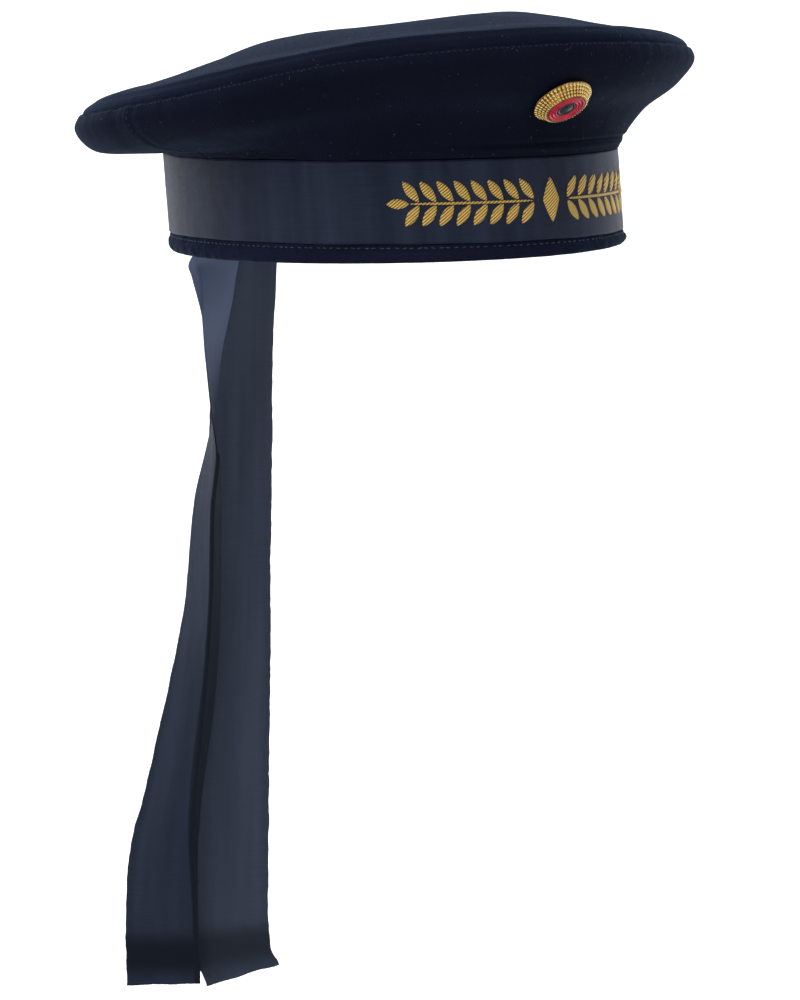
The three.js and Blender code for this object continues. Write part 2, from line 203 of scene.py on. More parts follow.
# %% Sizes of the band and the crown, in millimetres
BAND_LENGTH, BAND_WIDTH = 203.6, 171.2
BAND_BOTTOM, BAND_TOP, BAND_WALL = 6.6, 40.4, 3.0
BAND_LEAN, BAND_CENTRED = 0.1, 25.0
CROWN_FOOT, FOOT_OUTSIDE = 39.2, 2.6
TOP_HEIGHT, TOP_SLOPE, CENTRE_LIFT = 71.0, 0.131, 16.3
SEAM_ROW, LAST_ROW = 4.5, 10.0
SIDE_SEAM_TURNS = (-92.0, 92.0)
CROWN_SECTIONS = np.array([
    # turn; neck, knee, under, widest, ridge as distance and height; four lifts of the dome
    [0, 103, 44, 104.8, 54.2, 120, 66.2, 126.2, 77.8, 120.5, 87.2, 6.2, 12, 16, 16.8],
    [53, 95.2, 43.4, 103.6, 53.8, 117.5, 64.4, 124.2, 74, 117, 81.8, 4.7, 11.7, 17.2, 17.5],
    [90, 89.5, 43.6, 97, 51.5, 113, 60.5, 121, 70, 113.5, 78.3, 5.3, 11.5, 16, 17],
    [143, 98.5, 43.2, 103, 48.5, 116, 54.5, 123.5, 63.5, 116, 70.5, 4, 10, 15.5, 16.6],
    [180, 106.5, 42.5, 110, 45.5, 119, 50, 126, 58, 118, 65.2, 3, 9.5, 15.3, 16.6],
    [233, 98, 40.2, 107, 39.7, 121.5, 41.2, 128.6, 50, 119.5, 60.6, 1.5, 8.1, 15.5, 17.4],
    [276, 90.5, 41.6, 98, 43.4, 113, 48, 122, 58, 116, 68.3, 2.4, 9, 14.6, 16.6],
    [318, 97.5, 43.5, 103, 52.5, 115.5, 63, 123, 73.5, 118, 82.3, 5, 10, 13.8, 15.6],
])
LIFT_PLACES = (0.78, 0.6, 0.41, 0.2)

# %% Directions, the band's oval and the sections


def direction(turn):
    angle = np.radians(turn)
    return np.sin(angle), -np.cos(angle)


def band_oval(turn, outside):
    across, along = direction(turn)
    return 1 / np.hypot(across / (BAND_WIDTH / 2 + outside), along / (BAND_LENGTH / 2 + outside))


def band_point(turn, outside, height):
    across, along = direction(turn)
    distance = band_oval(turn, outside)
    back = BAND_LEAN * (height - BAND_CENTRED)
    return np.stack([across * distance, along * distance + back, height + 0 * distance], -1)


def between(before, start, end, after, part, spans):
    """Cubic from start to end whose slopes come from the neighbours."""
    low = (end - before) / (spans[0] + spans[1]) * spans[1]
    high = (after - start) / (spans[1] + spans[2]) * spans[1]
    square, cube = part**2, part**3
    return ((2 * cube - 3 * square + 1) * start + (cube - 2 * square + part) * low
            + (3 * square - 2 * cube) * end + (cube - square) * high)


def section_values(turn):
    turn = np.asarray(turn, float) % 360
    count = len(CROWN_SECTIONS)
    first = np.searchsorted(CROWN_SECTIONS[:, 0], turn, side="right") - 1
    rows = [CROWN_SECTIONS[(first + step) % count] for step in (-1, 0, 1, 2)]
    turns = [row[:, 0] + 360 * ((first + step) // count)
             for row, step in zip(rows, (-1, 0, 1, 2))]
    spans = [(turns[k + 1] - turns[k])[:, None] for k in range(3)]
    part = ((turn - turns[1]) / (turns[2] - turns[1]))[:, None]
    return between(*[row[:, 1:] for row in rows], part, spans)


def section_corners(turn):
    values = section_values(turn)
    along = direction(turn)[1]
    corners = np.zeros((len(turn), 13, 2))
    foot = band_oval(turn, FOOT_OUTSIDE) + along * BAND_LEAN * (CROWN_FOOT - BAND_CENTRED)
    corners[:, 1, 0], corners[:, 1, 1] = foot, CROWN_FOOT
    corners[:, 2:7] = values[:, :10].reshape(-1, 5, 2)
    for index, place in enumerate(LIFT_PLACES):
        distance, lift = place * values[:, 6], values[:, 10 + index]
        corners[:, 7 + index, 0] = distance
        corners[:, 7 + index, 1] = TOP_HEIGHT - along * TOP_SLOPE * distance + lift
    corners[:, 11] = (0, TOP_HEIGHT + CENTRE_LIFT)
    corners[:, 0] = 2 * corners[:, 1] - corners[:, 2]
    corners[:, 12] = 2 * corners[:, 11] - corners[:, 10]
    return corners


def crown_point(turn, row):
    """Points of the crown's outside, in millimetres, for arrays of turns and rows."""
    turn, row = np.broadcast_arrays(np.asarray(turn, float), np.asarray(row, float))
    shape = turn.shape
    turn, row = turn.ravel(), np.clip(row.ravel(), 0, LAST_ROW)
    corners = section_corners(turn)
    first = np.minimum(row.astype(int), int(LAST_ROW) - 1)
    pick = np.arange(len(turn))
    x0, x1, x2, x3 = [corners[pick, first + k] for k in range(4)]
    d0, d1, d2 = [np.sqrt(np.linalg.norm(b - a, axis=1))[:, None]
                  for a, b in ((x0, x1), (x1, x2), (x2, x3))]
    low = ((x1 - x0) / d0 - (x2 - x0) / (d0 + d1) + (x2 - x1) / d1) * d1
    high = ((x2 - x1) / d1 - (x3 - x1) / (d1 + d2) + (x3 - x2) / d2) * d1
    part = (row - first)[:, None]
    flat = (x1 + low * part + (3 * (x2 - x1) - 2 * low - high) * part**2
            + (2 * (x1 - x2) + low + high) * part**3)
    across, along = direction(turn)
    points = np.stack([across * flat[:, 0], along * flat[:, 0], flat[:, 1]], -1)
    return points.reshape(*shape, 3)


print("front of the rim", crown_point([0.0], [4.0]).round(1))

# %% [markdown]
# ## Cloth on a grid
# All the woven pieces start as a flat grid, as cloth comes from the bolt. The grid's corners
# are laid where the pattern says, small folds are pushed in or out along the way that the
# cloth faces, and the threads keep their own map (UV) in millimetres so that the weave
# follows the cloth wherever it bends.

# %% Cloth helpers
SEWN_SHUT = 2e-6  # metres: corners that are nearer than this become one


def uneven(points, size, seed):
    """Soft unevenness from -1 to 1 at each point. size is in millimetres."""
    flat = np.asarray(points, float).reshape(-1, 3) / size + seed
    found = np.array([noise.noise(Vector(p)) for p in flat])
    return found.reshape(np.asarray(points).shape[:-1])


def unit(vectors):
    return vectors / np.maximum(np.linalg.norm(vectors, axis=-1, keepdims=True), 1e-9)


def facing(grid, closed):
    """Way that each point of a grid of points faces."""
    if closed:
        around = np.empty_like(grid)
        around[1:-1] = grid[2:] - grid[:-2]
        around[0] = around[-1] = grid[1] - grid[-2]
    else:
        around = np.gradient(grid, axis=0)
    up = np.gradient(grid, axis=1)
    return unit(np.cross(around, up))


def lay_cloth(name, points, chart, finish, wall, closed=False, inward=1.0):
    """Cloth on a grid of points in millimetres. chart gives the map of the threads in
    millimetres. The wall grows inwards from the points, or both ways where inward is 0."""
    columns, rows = points.shape[0] - 1, points.shape[1] - 1
    cloth = bmesh.new()
    threads = cloth.loops.layers.uv.new("threads")
    bmesh.ops.create_grid(cloth, x_segments=columns, y_segments=rows, size=0.5)

    def cell(corner):
        return round((corner.co.x + 0.5) * columns), round((corner.co.y + 0.5) * rows)

    for face in cloth.faces:
        for loop in face.loops:
            loop[threads].uv = chart[cell(loop.vert)]
    for corner in cloth.verts:
        corner.co = Vector(points[cell(corner)]) * MM
    if closed:
        bmesh.ops.remove_doubles(cloth, verts=cloth.verts, dist=SEWN_SHUT)
    piece = finished(name, cloth, finish)
    if wall:
        thick = piece.modifiers.new("cloth wall", "SOLIDIFY")
        thick.thickness = wall * MM
        thick.offset = -inward
        thick.use_even_offset = False
        thick.use_rim = True
    return piece


def sewn_on(piece, finish_slot, *nodes):
    """The piece stays with the cap and stands for these solids."""
    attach(piece, "root")
    if nodes:
        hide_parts(*nodes)

# %% [markdown]
# ## Finishes
# Cloth is never one flat colour. Each finish below mixes a colour for the threads with slow
# changes of tone, puts the weave into the bump, and lets the surface scatter a little light
# at its edges as wool and silk do.

# %% Tools for finishes
WAVE_BEND = 20  # the wave texture turns this many radians for each unit


class Finish:
    """A material that is put together node by node, and read from the cloth's own map."""

    def __init__(self, name, colour, roughness, threads=True):
        self.made = bpy.data.materials.new(name)
        self.made.use_nodes = True
        self.nodes = self.made.node_tree.nodes
        self.links = self.made.node_tree.links
        self.shader = self.nodes["Principled BSDF"]
        self.shader.inputs["Base Color"].default_value = (*colour, 1)
        self.shader.inputs["Roughness"].default_value = roughness
        if threads:
            source = self.nodes.new("ShaderNodeUVMap")
            source.uv_map = "threads"
            self.place = source.outputs["UV"]
        else:
            source = self.nodes.new("ShaderNodeTexCoord")
            self.place = source.outputs["Object"]

    def set(self, **values):
        for name, value in values.items():
            socket = self.shader.inputs[name.replace("_", " ")]
            socket.default_value = value
        return self

    def join(self, source, target):
        """Give a socket a number, a colour or what another node puts out."""
        if isinstance(source, (int, float)):
            target.default_value = source
        elif isinstance(source, tuple):
            target.default_value = (*source, 1)
        else:
            self.links.new(source, target)

    def stretched(self, scale, turn=0.0):
        """The place on the cloth, scaled, and turned by some degrees."""
        mapping = self.nodes.new("ShaderNodeMapping")
        mapping.inputs["Scale"].default_value = scale
        mapping.inputs["Rotation"].default_value = (0, 0, math.radians(turn))
        self.join(self.place, mapping.inputs["Vector"])
        return mapping.outputs["Vector"]

    def cloudy(self, scale, detail=2.0, turn=0.0, roughness=0.5):
        """Uneven value from 0 to 1. scale is cycles for each unit of the map, by axis."""
        node = self.nodes.new("ShaderNodeTexNoise")
        node.inputs["Scale"].default_value = 1.0
        node.inputs["Detail"].default_value = detail
        node.inputs["Roughness"].default_value = roughness
        self.join(self.stretched(scale, turn), node.inputs["Vector"])
        return node.outputs["Fac"]

    def ribs(self, scale, turn=0.0, wander=0.0):
        """Value that rises and falls in straight lines across the map's X."""
        node = self.nodes.new("ShaderNodeTexWave")
        node.inputs["Scale"].default_value = 1.0
        node.inputs["Distortion"].default_value = wander
        node.inputs["Detail"].default_value = 1.0
        cycles = scale * 2 * math.pi / WAVE_BEND
        self.join(self.stretched((cycles,) * 3, turn), node.inputs["Vector"])
        return node.outputs["Fac"]

    def curve(self, value, stops):
        ramp = self.nodes.new("ShaderNodeValToRGB")
        while len(ramp.color_ramp.elements) < len(stops):
            ramp.color_ramp.elements.new(0.5)
        for stop, (place, colour) in zip(ramp.color_ramp.elements, stops):
            stop.position = place
            stop.color = (*colour, 1) if hasattr(colour, "__len__") else (colour,) * 3 + (1,)
        self.join(value, ramp.inputs["Fac"])
        return ramp.outputs["Color"]

    def sum(self, first, second, operation="ADD"):
        node = self.nodes.new("ShaderNodeMath")
        node.operation = operation
        for socket, value in zip(node.inputs, (first, second)):
            self.join(value, socket)
        return node.outputs["Value"]

    def mix(self, share, first, second):
        node = self.nodes.new("ShaderNodeMix")
        node.data_type = "RGBA"
        for socket, value in ((0, share), (6, first), (7, second)):
            self.join(value, node.inputs[socket])
        return node.outputs[2]

    def part(self, axis):
        """How far along one way of the cloth's own map, in millimetres."""
        split = self.nodes.new("ShaderNodeSeparateXYZ")
        self.join(self.place, split.inputs["Vector"])
        return split.outputs[axis]

    def share(self, value, none, full):
        """0 where the value is none, 1 where it is full, and smooth between them."""
        return spread(self.nodes, self.links, value, "SMOOTHSTEP", From_Min=none, From_Max=full)

    def colour(self, source):
        self.join(source, self.shader.inputs["Base Color"])

    def rough(self, source, low, high):
        value = spread(self.nodes, self.links, source, "LINEAR", To_Min=low, To_Max=high)
        self.join(value, self.shader.inputs["Roughness"])

    def raised(self, height, depth):
        """Bump from a height of 0 to 1. depth is what 1 stands for, in metres."""
        bump = self.nodes.new("ShaderNodeBump")
        bump.inputs["Strength"].default_value = 1.0
        bump.inputs["Distance"].default_value = depth
        self.join(height, bump.inputs["Height"])
        last = self.shader.inputs["Normal"]
        if last.is_linked:
            self.join(last.links[0].from_socket, bump.inputs["Normal"])
        self.join(bump.outputs["Normal"], last)


def screen(red, green, blue):
    """A colour as a picture shows it, 0 to 255, as the light it stands for."""
    return tuple(((v / 255) / 12.92 if v <= 10 else ((v / 255 + 0.055) / 1.055) ** 2.4)
                 for v in (red, green, blue))

# %% [markdown]
# The crown is a dense wool cloth, dyed so dark a navy that only its fuzz catches the light.
# The short hairs are what sheen stands for. The weave is a fine twill that has been milled
# until it nearly closes, with slack upright lines where the cloth was eased into the seam.

# %% Wool finishes


def wool(name, deep, pale, fuzz, streaks, scale=1.0):
    cloth = Finish(name, deep, 0.92)
    slow = cloth.cloudy((0.022 * scale,) * 3, 3.0)
    fibre = cloth.cloudy((1.1 * scale, 2.0 * scale, 1), 3.0, 35.0, 0.65)
    twill = cloth.ribs(1.3 * scale, 62.0, 1.6)
    tone = cloth.curve(cloth.sum(cloth.sum(slow, 0.55, "MULTIPLY"),
                                 cloth.sum(fibre, 0.45, "MULTIPLY")), [(0.3, deep), (0.72, pale)])
    specks = cloth.curve(cloth.cloudy((0.55, 0.75, 1), 1.0, 15.0), [(0.79, 0.0), (0.85, 1.0)])
    cloth.colour(cloth.mix(specks, tone, tuple(min(1, 3.2 * v + 0.008) for v in pale)))
    cloth.rough(fibre, 0.82, 0.98)
    cloth.set(Sheen_Weight=fuzz, Sheen_Roughness=0.35, Sheen_Tint=(0.3, 0.55, 1.0, 1),
              Specular_IOR_Level=0.06)
    cloth.raised(twill, 0.00005)
    cloth.raised(fibre, 0.00022)
    if streaks:
        cloth.raised(cloth.cloudy((0.9, 0.03, 1), 2.0, 0.0, 0.6), 0.00028)
    return cloth.made


SIDE_WOOL = wool("crown_side_wool", screen(13, 15, 28), screen(22, 25, 42), 0.11, True)
TOP_WOOL = wool("crown_top_wool", screen(13, 16, 30), screen(22, 26, 45), 0.13, False)
BAND_WOOL = wool("band_wool", screen(13, 15, 28), screen(22, 25, 42), 0.11, False)
HEM_WOOL = wool("hem_felt", screen(15, 17, 33), screen(30, 33, 54), 0.16, False, 0.8)

# %% [markdown]
# ## Side panel of the crown
# The side panel flares from the band to the rim. A sewer eases its wide upper edge into the
# top seam, which leaves short upright puckers under the seam, and the cloth bags a little
# over the band at the front. The pattern gives the big form, and these small folds are added
# along the way that the cloth faces.

# %% Crown side panel
SIDE_COLUMNS, SIDE_ROWS = 480, 84
CROWN_ROUND = 740  # millimetres round the crown, for the map of the threads
CROWN_CLOTH = 1.5  # thickness in millimetres
FRONT_FOLDS = [(2.6, 1.1, 0.9), (4.7, 0.7, -1.1), (6.3, 1.0, 0.5)]  # height, width, push


def bump_at(distance, centre, width):
    """1 at a distance over the cloth, falling to 0 over a width on both sides."""
    return np.exp(-(((distance - centre) / width) ** 2))


def wave(turn, centre, width):
    """The same at a turn round the cap, over a width in degrees."""
    return bump_at((turn - centre + 180) % 360 - 180, 0, width)


def along_cloth(points):
    """How far each row lies from the first one, over the cloth, in millimetres."""
    steps = np.linalg.norm(np.diff(points, axis=1), axis=-1)
    return np.concatenate([np.zeros((len(points), 1)), np.cumsum(steps, axis=1)], axis=1)


def side_cloth():
    turn = np.linspace(-180, 180, SIDE_COLUMNS + 1)[:, None]
    row = SEAM_ROW * (1 - (1 - np.linspace(0, 1, SIDE_ROWS + 1)) ** 1.35)[None, :]
    base = crown_point(turn, row)
    base[-1] = base[0]
    out = facing(base, True)
    up = along_cloth(base)
    below = up[:, -1:] - up
    gather = uneven(base * (1, 1, 0.12), 3.4, 11.3) + 0.6 * uneven(base * (1, 1, 0.1), 1.7, 4.1)
    push = 0.4 * gather * np.exp(-below / 6.0)
    push += 0.6 * uneven(base, 34.0, 2.2) * np.minimum(below / 12, 1)
    push += 0.16 * uneven(base * (1, 1, 0.25), 9.0, 7.7)
    push -= 0.5 * bump_at(below, 0, 0.8)
    for seam in SIDE_SEAM_TURNS:
        push -= 0.55 * wave(turn, seam, 0.75)
        push += 0.35 * wave(turn, seam, 2.6)
    for height, width, depth in FRONT_FOLDS:
        push += depth * wave(turn, 8, 34) * bump_at(up, height, width)
    push -= 1.0 * wave(turn, 52, 24) * bump_at(up, 0, 7)
    points = base + out * push[..., None]
    points[-1] = points[0]
    chart = np.stack([turn / 360 * CROWN_ROUND + 0 * up, up], -1)
    return points, chart


side_points, side_chart = side_cloth()
sewn_on(lay_cloth("crown_side_cloth", side_points, side_chart, SIDE_WOOL, CROWN_CLOTH,
                  closed=True), "dark_wool", "crown_side")

# %% [markdown]
# ## Top panel of the crown
# The top is one round of cloth. Its edge rolls over the rim and down to the seam, so a soft
# rounded strip lies between the seam and the ridge. Its weave runs straight across, which is
# why its map is the plan of the cap and not the way round it.

# %% Crown top panel
TOP_COLUMNS, TOP_ROWS = 420, 80


def top_cloth():
    turn = np.linspace(-180, 180, TOP_COLUMNS + 1)[:, None]
    row = SEAM_ROW + (LAST_ROW - SEAM_ROW) * (np.linspace(0, 1, TOP_ROWS + 1) ** 1.45)[None, :]
    base = crown_point(turn, row)
    base[-1] = base[0]
    out = facing(base, True)
    out[:, -1] = (0, 0, 1)
    above = along_cloth(base)
    to_middle = np.minimum(np.hypot(base[..., 0], base[..., 1]) / 40, 1)
    push = -0.5 * bump_at(above, 0, 0.8) + 0.25 * bump_at(above, 3.4, 1.8)
    push += 0.7 * wave(turn, -45, 55) * bump_at(above, 8.2, 1.5)
    push += 0.2 * uneven(base, 2.6, 5.5) * np.exp(-above / 5.0)
    sag = 0.8 * uneven(base, 42.0, 9.1) + 0.25 * uneven(base, 15.0, 3.3)
    push += sag * to_middle * np.minimum(above / 14, 1)
    points = base + out * push[..., None]
    points[-1] = points[0]
    points[:, -1] = points[0, -1]
    return points, base[..., :2]


top_points, top_chart = top_cloth()
sewn_on(lay_cloth("crown_top_cloth", top_points, top_chart, TOP_WOOL, CROWN_CLOTH,
                  closed=True), "dark_wool", "crown_top")

# %% [markdown]
# ## Band and rolled hem
# Inside everything sits a stiff band. Its lower edge is turned up and stitched: the turned
# part is a soft roll, and above it a narrow flat strip carries a running stitch. A section of
# a few corners is swept round the oval, so the band is not made from a tube.

# %% Oval pieces
TURNS_ROUND, BAND_ROUND = 560, 590  # steps and millimetres round the band
HEM_DIP, HEM_DIP_TURN = 1.3, 255.0
INSIDE = -0.5  # a section's rows that lie farther in than this keep the oval


def around_band(name, section, finish, swell):
    """Cloth swept round the band. The section's rows are distance outside, height and dip."""
    turn = np.linspace(-180, 180, TURNS_ROUND + 1)[:, None]
    rows = np.array(section + section[:1], float)
    outside, height, dip = (rows[:, k][None, :] for k in range(3))
    height = height - dip * np.cos(np.radians(turn - HEM_DIP_TURN))
    outside = outside + swell(turn, height) * (outside > INSIDE)
    points = band_point(turn, outside, height)
    points[-1] = points[0]
    length = along_cloth(points[:1])[0]
    chart = np.stack([turn / 360 * BAND_ROUND + 0 * length, length + 0 * turn], -1)
    return lay_cloth(name, points, chart, finish, 0, closed=True)


def rounded(corners, steps):
    """The section with more rows between its corners, on a smooth curve."""
    corners = np.array(corners, float)
    place = np.linspace(0, len(corners) - 1, (len(corners) - 1) * steps + 1)
    first = np.minimum(place.astype(int), len(corners) - 2)
    pick = [corners[np.clip(first + step, 0, len(corners) - 1)] for step in (-1, 0, 1, 2)]
    part = (place - first)[:, None]
    one = np.ones_like(part)
    return between(*pick, part, [one, one, one]).tolist()


def band_swell(turn, height):
    return 0.1 * uneven(band_point(turn, 0 * height, height), 12.0, 8.8)


BAND_SECTION = (
    [(-BAND_WALL, height, 0) for height in (BAND_BOTTOM, 14, 24, 34, BAND_TOP)]
    + [(-BAND_WALL / 2, BAND_TOP + 0.4, 0), (0, BAND_TOP, 0), (0, 24, 0), (0, BAND_BOTTOM, 0),
       (-BAND_WALL / 2, BAND_BOTTOM - 0.2, 0)])
sewn_on(around_band("head_band_cloth", BAND_SECTION, BAND_WOOL, band_swell),
        "dark_wool", "head_band")


def hem_swell(turn, height):
    place = band_point(turn, 0 * height, height)
    return (0.45 * uneven(place, 7.0, 3.9) + 0.35 * uneven(place, 2.6, 6.1)
            + 0.15 * uneven(place, 1.3, 2.9))


HEM_SECTION = rounded([
    (-3.0, 6.3, 0), (-3.1, 3.2, 0.6), (-2.7, 0.8, 1.1), (-1.2, 0.05, 1.3), (0.4, 0.1, 1.3),
    (1.5, 0.9, 1.2), (1.95, 2.5, 0.8), (1.7, 4.1, 0.4), (1.0, 4.75, 0.2), (0.75, 5.4, 0.1),
    (0.75, 6.2, 0), (0.4, 6.6, 0), (-1.5, 6.6, 0), (-3.0, 6.3, 0)], 3)
sewn_on(around_band("hem_roll_cloth", HEM_SECTION[:-1], HEM_WOOL, hem_swell),
        "hem_wool", "hem_roll")

# %% [markdown]
# ## Cap ribbon
# A silk ribbon runs round the band. Its fine warp shines in upright bands where the band
# under it is not quite round, and its lower edge is a little slack between the stitches. It
# is a strip of cloth with a thin wall, laid a hair outside the band. The tails that hang from
# it are of the same silk, so their finishes are made here too.

# %% Satin finishes
CUT_END = 358  # millimetres along a tail, where it bends above its cut end
TOP_PALE, TOP_PALE_ENDS = 70, 118  # millimetres along the folded tail
FOLD_STARTS, FOLD_FULL = 112, 124
FOLD_NARROWS, FOLD_NARROW = 250, 345
WIDE_FOLD, NARROW_FOLD = 8.6, 2.6  # millimetres of edge that is folded under


def satin(name, deep, pale, gloss, shine, cut=False, folded=False):
    """Silk. Three tones are put into its colour for likeness, though in the photograph they
    are most likely light and shade: a dark bend near a cut end, and on the folded tail a dark
    strip along the edge that folds under and a pale stretch near the band."""
    silk = Finish(name, deep, gloss)
    shade = tuple(0.5 * v for v in deep)
    bands = silk.cloudy((0.085, 0.006, 1), 2.0)
    slubs = silk.cloudy((0.05, 1.6, 1), 2.0, 0.0, 0.6)
    weave = silk.ribs(5.6, 90.0, 0.4)
    warp = silk.ribs(6.4, 0.0, 0.3)
    tone = silk.curve(silk.sum(silk.sum(bands, 0.8, "MULTIPLY"), silk.sum(slubs, 0.2, "MULTIPLY")),
                      [(0.4, deep), (0.62, pale)])
    along = silk.part("Y") if cut or folded else None
    if cut:
        off = silk.sum(silk.sum(along, CUT_END, "SUBTRACT"), 0.0, "ABSOLUTE")
        tone = silk.mix(silk.share(off, 15, 4), tone, shade)
    if folded:
        near_band = silk.share(along, TOP_PALE_ENDS, TOP_PALE)
        tone = silk.mix(near_band, tone, tuple(4.2 * v for v in pale))
        wider = silk.sum(silk.share(along, FOLD_NARROW, FOLD_NARROWS), WIDE_FOLD - NARROW_FOLD,
                         "MULTIPLY")
        past_fold = silk.sum(silk.part("X"), wider, "SUBTRACT")
        strip = silk.sum(silk.share(past_fold, NARROW_FOLD + 0.5, NARROW_FOLD - 0.5),
                         silk.share(along, FOLD_STARTS, FOLD_FULL), "MULTIPLY")
        tone = silk.mix(strip, tone, shade)
    silk.colour(tone)
    silk.rough(bands, gloss - 0.06, gloss + 0.1)
    silk.set(Sheen_Weight=0.1, Sheen_Roughness=0.35, Sheen_Tint=(0.5, 0.64, 1.0, 1),
             Specular_IOR_Level=shine, Specular_Tint=(0.62, 0.76, 1.0, 1), Anisotropic=0.3)
    for relief in (weave, warp, slubs):
        silk.raised(relief, 0.00002)
    return silk.made


RIBBON_SATIN = satin("ribbon_satin", screen(27, 30, 46), screen(42, 46, 65), 0.42, 0.22)
TAIL_SATIN = satin("tail_satin", screen(60, 66, 81), screen(72, 78, 95), 0.55, 0.3, cut=True)
FOLDED_SATIN = satin("folded_tail_satin", screen(42, 48, 62), screen(52, 58, 74), 0.6, 0.12,
                     cut=True, folded=True)

# %% Cap ribbon
RIBBON_BOTTOM, RIBBON_WIDTH = 6.8, 32.0
RIBBON_OUTSIDE, RIBBON_WALL = 1.3, 0.7
RIBBON_ROWS = 28


def ribbon_swell(turn, height):
    """How far the ribbon stands off its even oval."""
    part = (height - RIBBON_BOTTOM) / RIBBON_WIDTH
    middle = np.clip(4 * part * (1 - part), 0, 1)
    place = band_point(turn, 0 * height, height * 0.3)
    slack = 0.25 * uneven(place, 17.0, 1.7) + 0.12 * uneven(place, 6.0, 5.2)
    fine = 0.08 * uneven(band_point(turn, 0 * height, height), 5.0, 2.6)
    return slack * (0.4 + 0.6 * middle) + fine


def ribbon_cloth():
    turn = np.linspace(-180, 180, TURNS_ROUND + 1)[:, None]
    part = np.linspace(0, 1, RIBBON_ROWS + 1)[None, :]
    place = band_point(turn, 0 * turn, 0 * turn)
    low = RIBBON_BOTTOM + 0.25 * uneven(place, 16.0, 6.6)
    height = low + (RIBBON_BOTTOM + RIBBON_WIDTH - low) * part
    points = band_point(turn, RIBBON_OUTSIDE + ribbon_swell(turn, height), height)
    points[-1] = points[0]
    chart = np.stack([turn / 360 * BAND_ROUND + 0 * part, RIBBON_WIDTH * part + 0 * turn], -1)
    return points, chart


sewn_on(lay_cloth("cap_ribbon_cloth", *ribbon_cloth(), RIBBON_SATIN, RIBBON_WALL, closed=True),
        "slate_satin", "cap_ribbon")

# %% [markdown]
# ## Hanging tails
# The two ends of the ribbon hang from the back of the band. Each is one strip of cloth, so it
# is laid on a grid that follows a short table of where its middle hangs, how far it has
# turned, and how it is cut at its end. The wearer's right tail has twisted: near its top it is
# seen edge on. Its free edge also curls back towards the other tail. The tables were fitted to
# the photograph, which keeps the twist and curl that a freely hung strip would lose.

# %% Tables of the tails
TAIL_WIDTH, TAIL_WALL, TAIL_BEYOND = 33.0, 0.6, 20.0
TAIL_COLUMNS, TAIL_ROWS = 44, 260
TAIL_LEFT = [  # z, x, y, turn, cup, slant
    (37, 2, 107.2, 0, 1.7, 0), (4, 1.8, 108.1, 0, 1.5, 0), (-18, 2.4, 110.4, 0, 0.8, 0),
    (-51, 2.0, 112.9, 0, 0, 0), (-95, -0.5, 112.2, -1, 0, 0), (-162, -5.5, 110.9, -10, 0, 0),
    (-252, -8.8, 112.9, -21, 0, 0), (-306, -10.6, 113.7, -28, 0, 0.4),
    (-321, -10.3, 113.3, -29.5, 0, 1.6), (-327.8, -9.6, 112.8, -30, 0, 2.7),
    (-334.4, -7.2, 111.1, -31, 0, 4.3),
]
TAIL_RIGHT = [
    (37, -20, 102.8, 16, 1.9, 0), (4, -18.5, 101.8, 24, 1.7, 0), (-3, -17.6, 101.1, 24, 1.5, 0),
    (-11, -19.3, 102, 19, 1.1, 0),
    (-17, -19.3, 101.1, 25, 0.8, 0),
    (-30, -20.7, 98.4, 33, 0, 0), (-49.5, -24.0, 96.6, 43, 0, 0), (-75, -25, 97, 53.5, 0, 0),
    (-93, -25.9, 97.5, 64, 0, 0), (-115, -27, 101.1, 72, 0, 0), (-159, -27.6, 106.1, 81, 0, 0),
    (-204, -30.4, 113.1, 94, 0, 0), (-249, -36.8, 119.1, 106, 0, 0),
    (-272, -39.7, 122.4, 121, 0, 0), (-308, -41.2, 123.7, 137, 0, 0),
    (-334.9, -41.5, 124, 143, 0, 0),
]
CURL_LEFT = [(37, 0, 0), (-334.4, 0, 0)]  # z, width that turns over, degrees
CURL_RIGHT = [
    (37, 0, 60), (-4, 0, 60), (-8, 3, 60), (-13, 4.6, 60), (-18, 4.3, 60), (-26, 2.6, 60),
    (-35, 0.3, 60),
    (-42, 0, 60), (-88, 0, -135), (-98, 4, -135), (-115, 8, -132), (-159, 9, -120),
    (-204, 8, -100), (-249, 5.5, -85), (-272, 4.2, -62), (-308, 2.2, -55), (-334.9, 0.4, -40),
]
CURL_ROUND = 1.6  # millimetres over which a free edge turns over
SWING, SWING_WAY = 7.0, np.array([0.6, 0.8, 0.0])  # the ends swing back so far, this way
EDGE_ROW = 1.25  # over 1, the columns lie closer together at the free edge

# %% Lay and hang the tails


def tail_values(table, height):
    """All the columns of a tail's table at each height."""
    rows = np.array(table, float)
    extra = np.array([TAIL_BEYOND, 0, 0, 0, 0, 0])
    rows = np.vstack([rows[0] + extra, rows, rows[-1] - extra])
    first = np.clip(np.searchsorted(-rows[:, 0], -height, side="left") - 1, 1, len(rows) - 3)
    pick = [rows[first + step] for step in (-1, 0, 1, 2)]
    spans = [(pick[k][:, 0] - pick[k + 1][:, 0])[:, None] for k in range(3)]
    part = ((pick[1][:, 0] - height) / (pick[1][:, 0] - pick[2][:, 0]))[:, None]
    return between(*pick, part, spans)


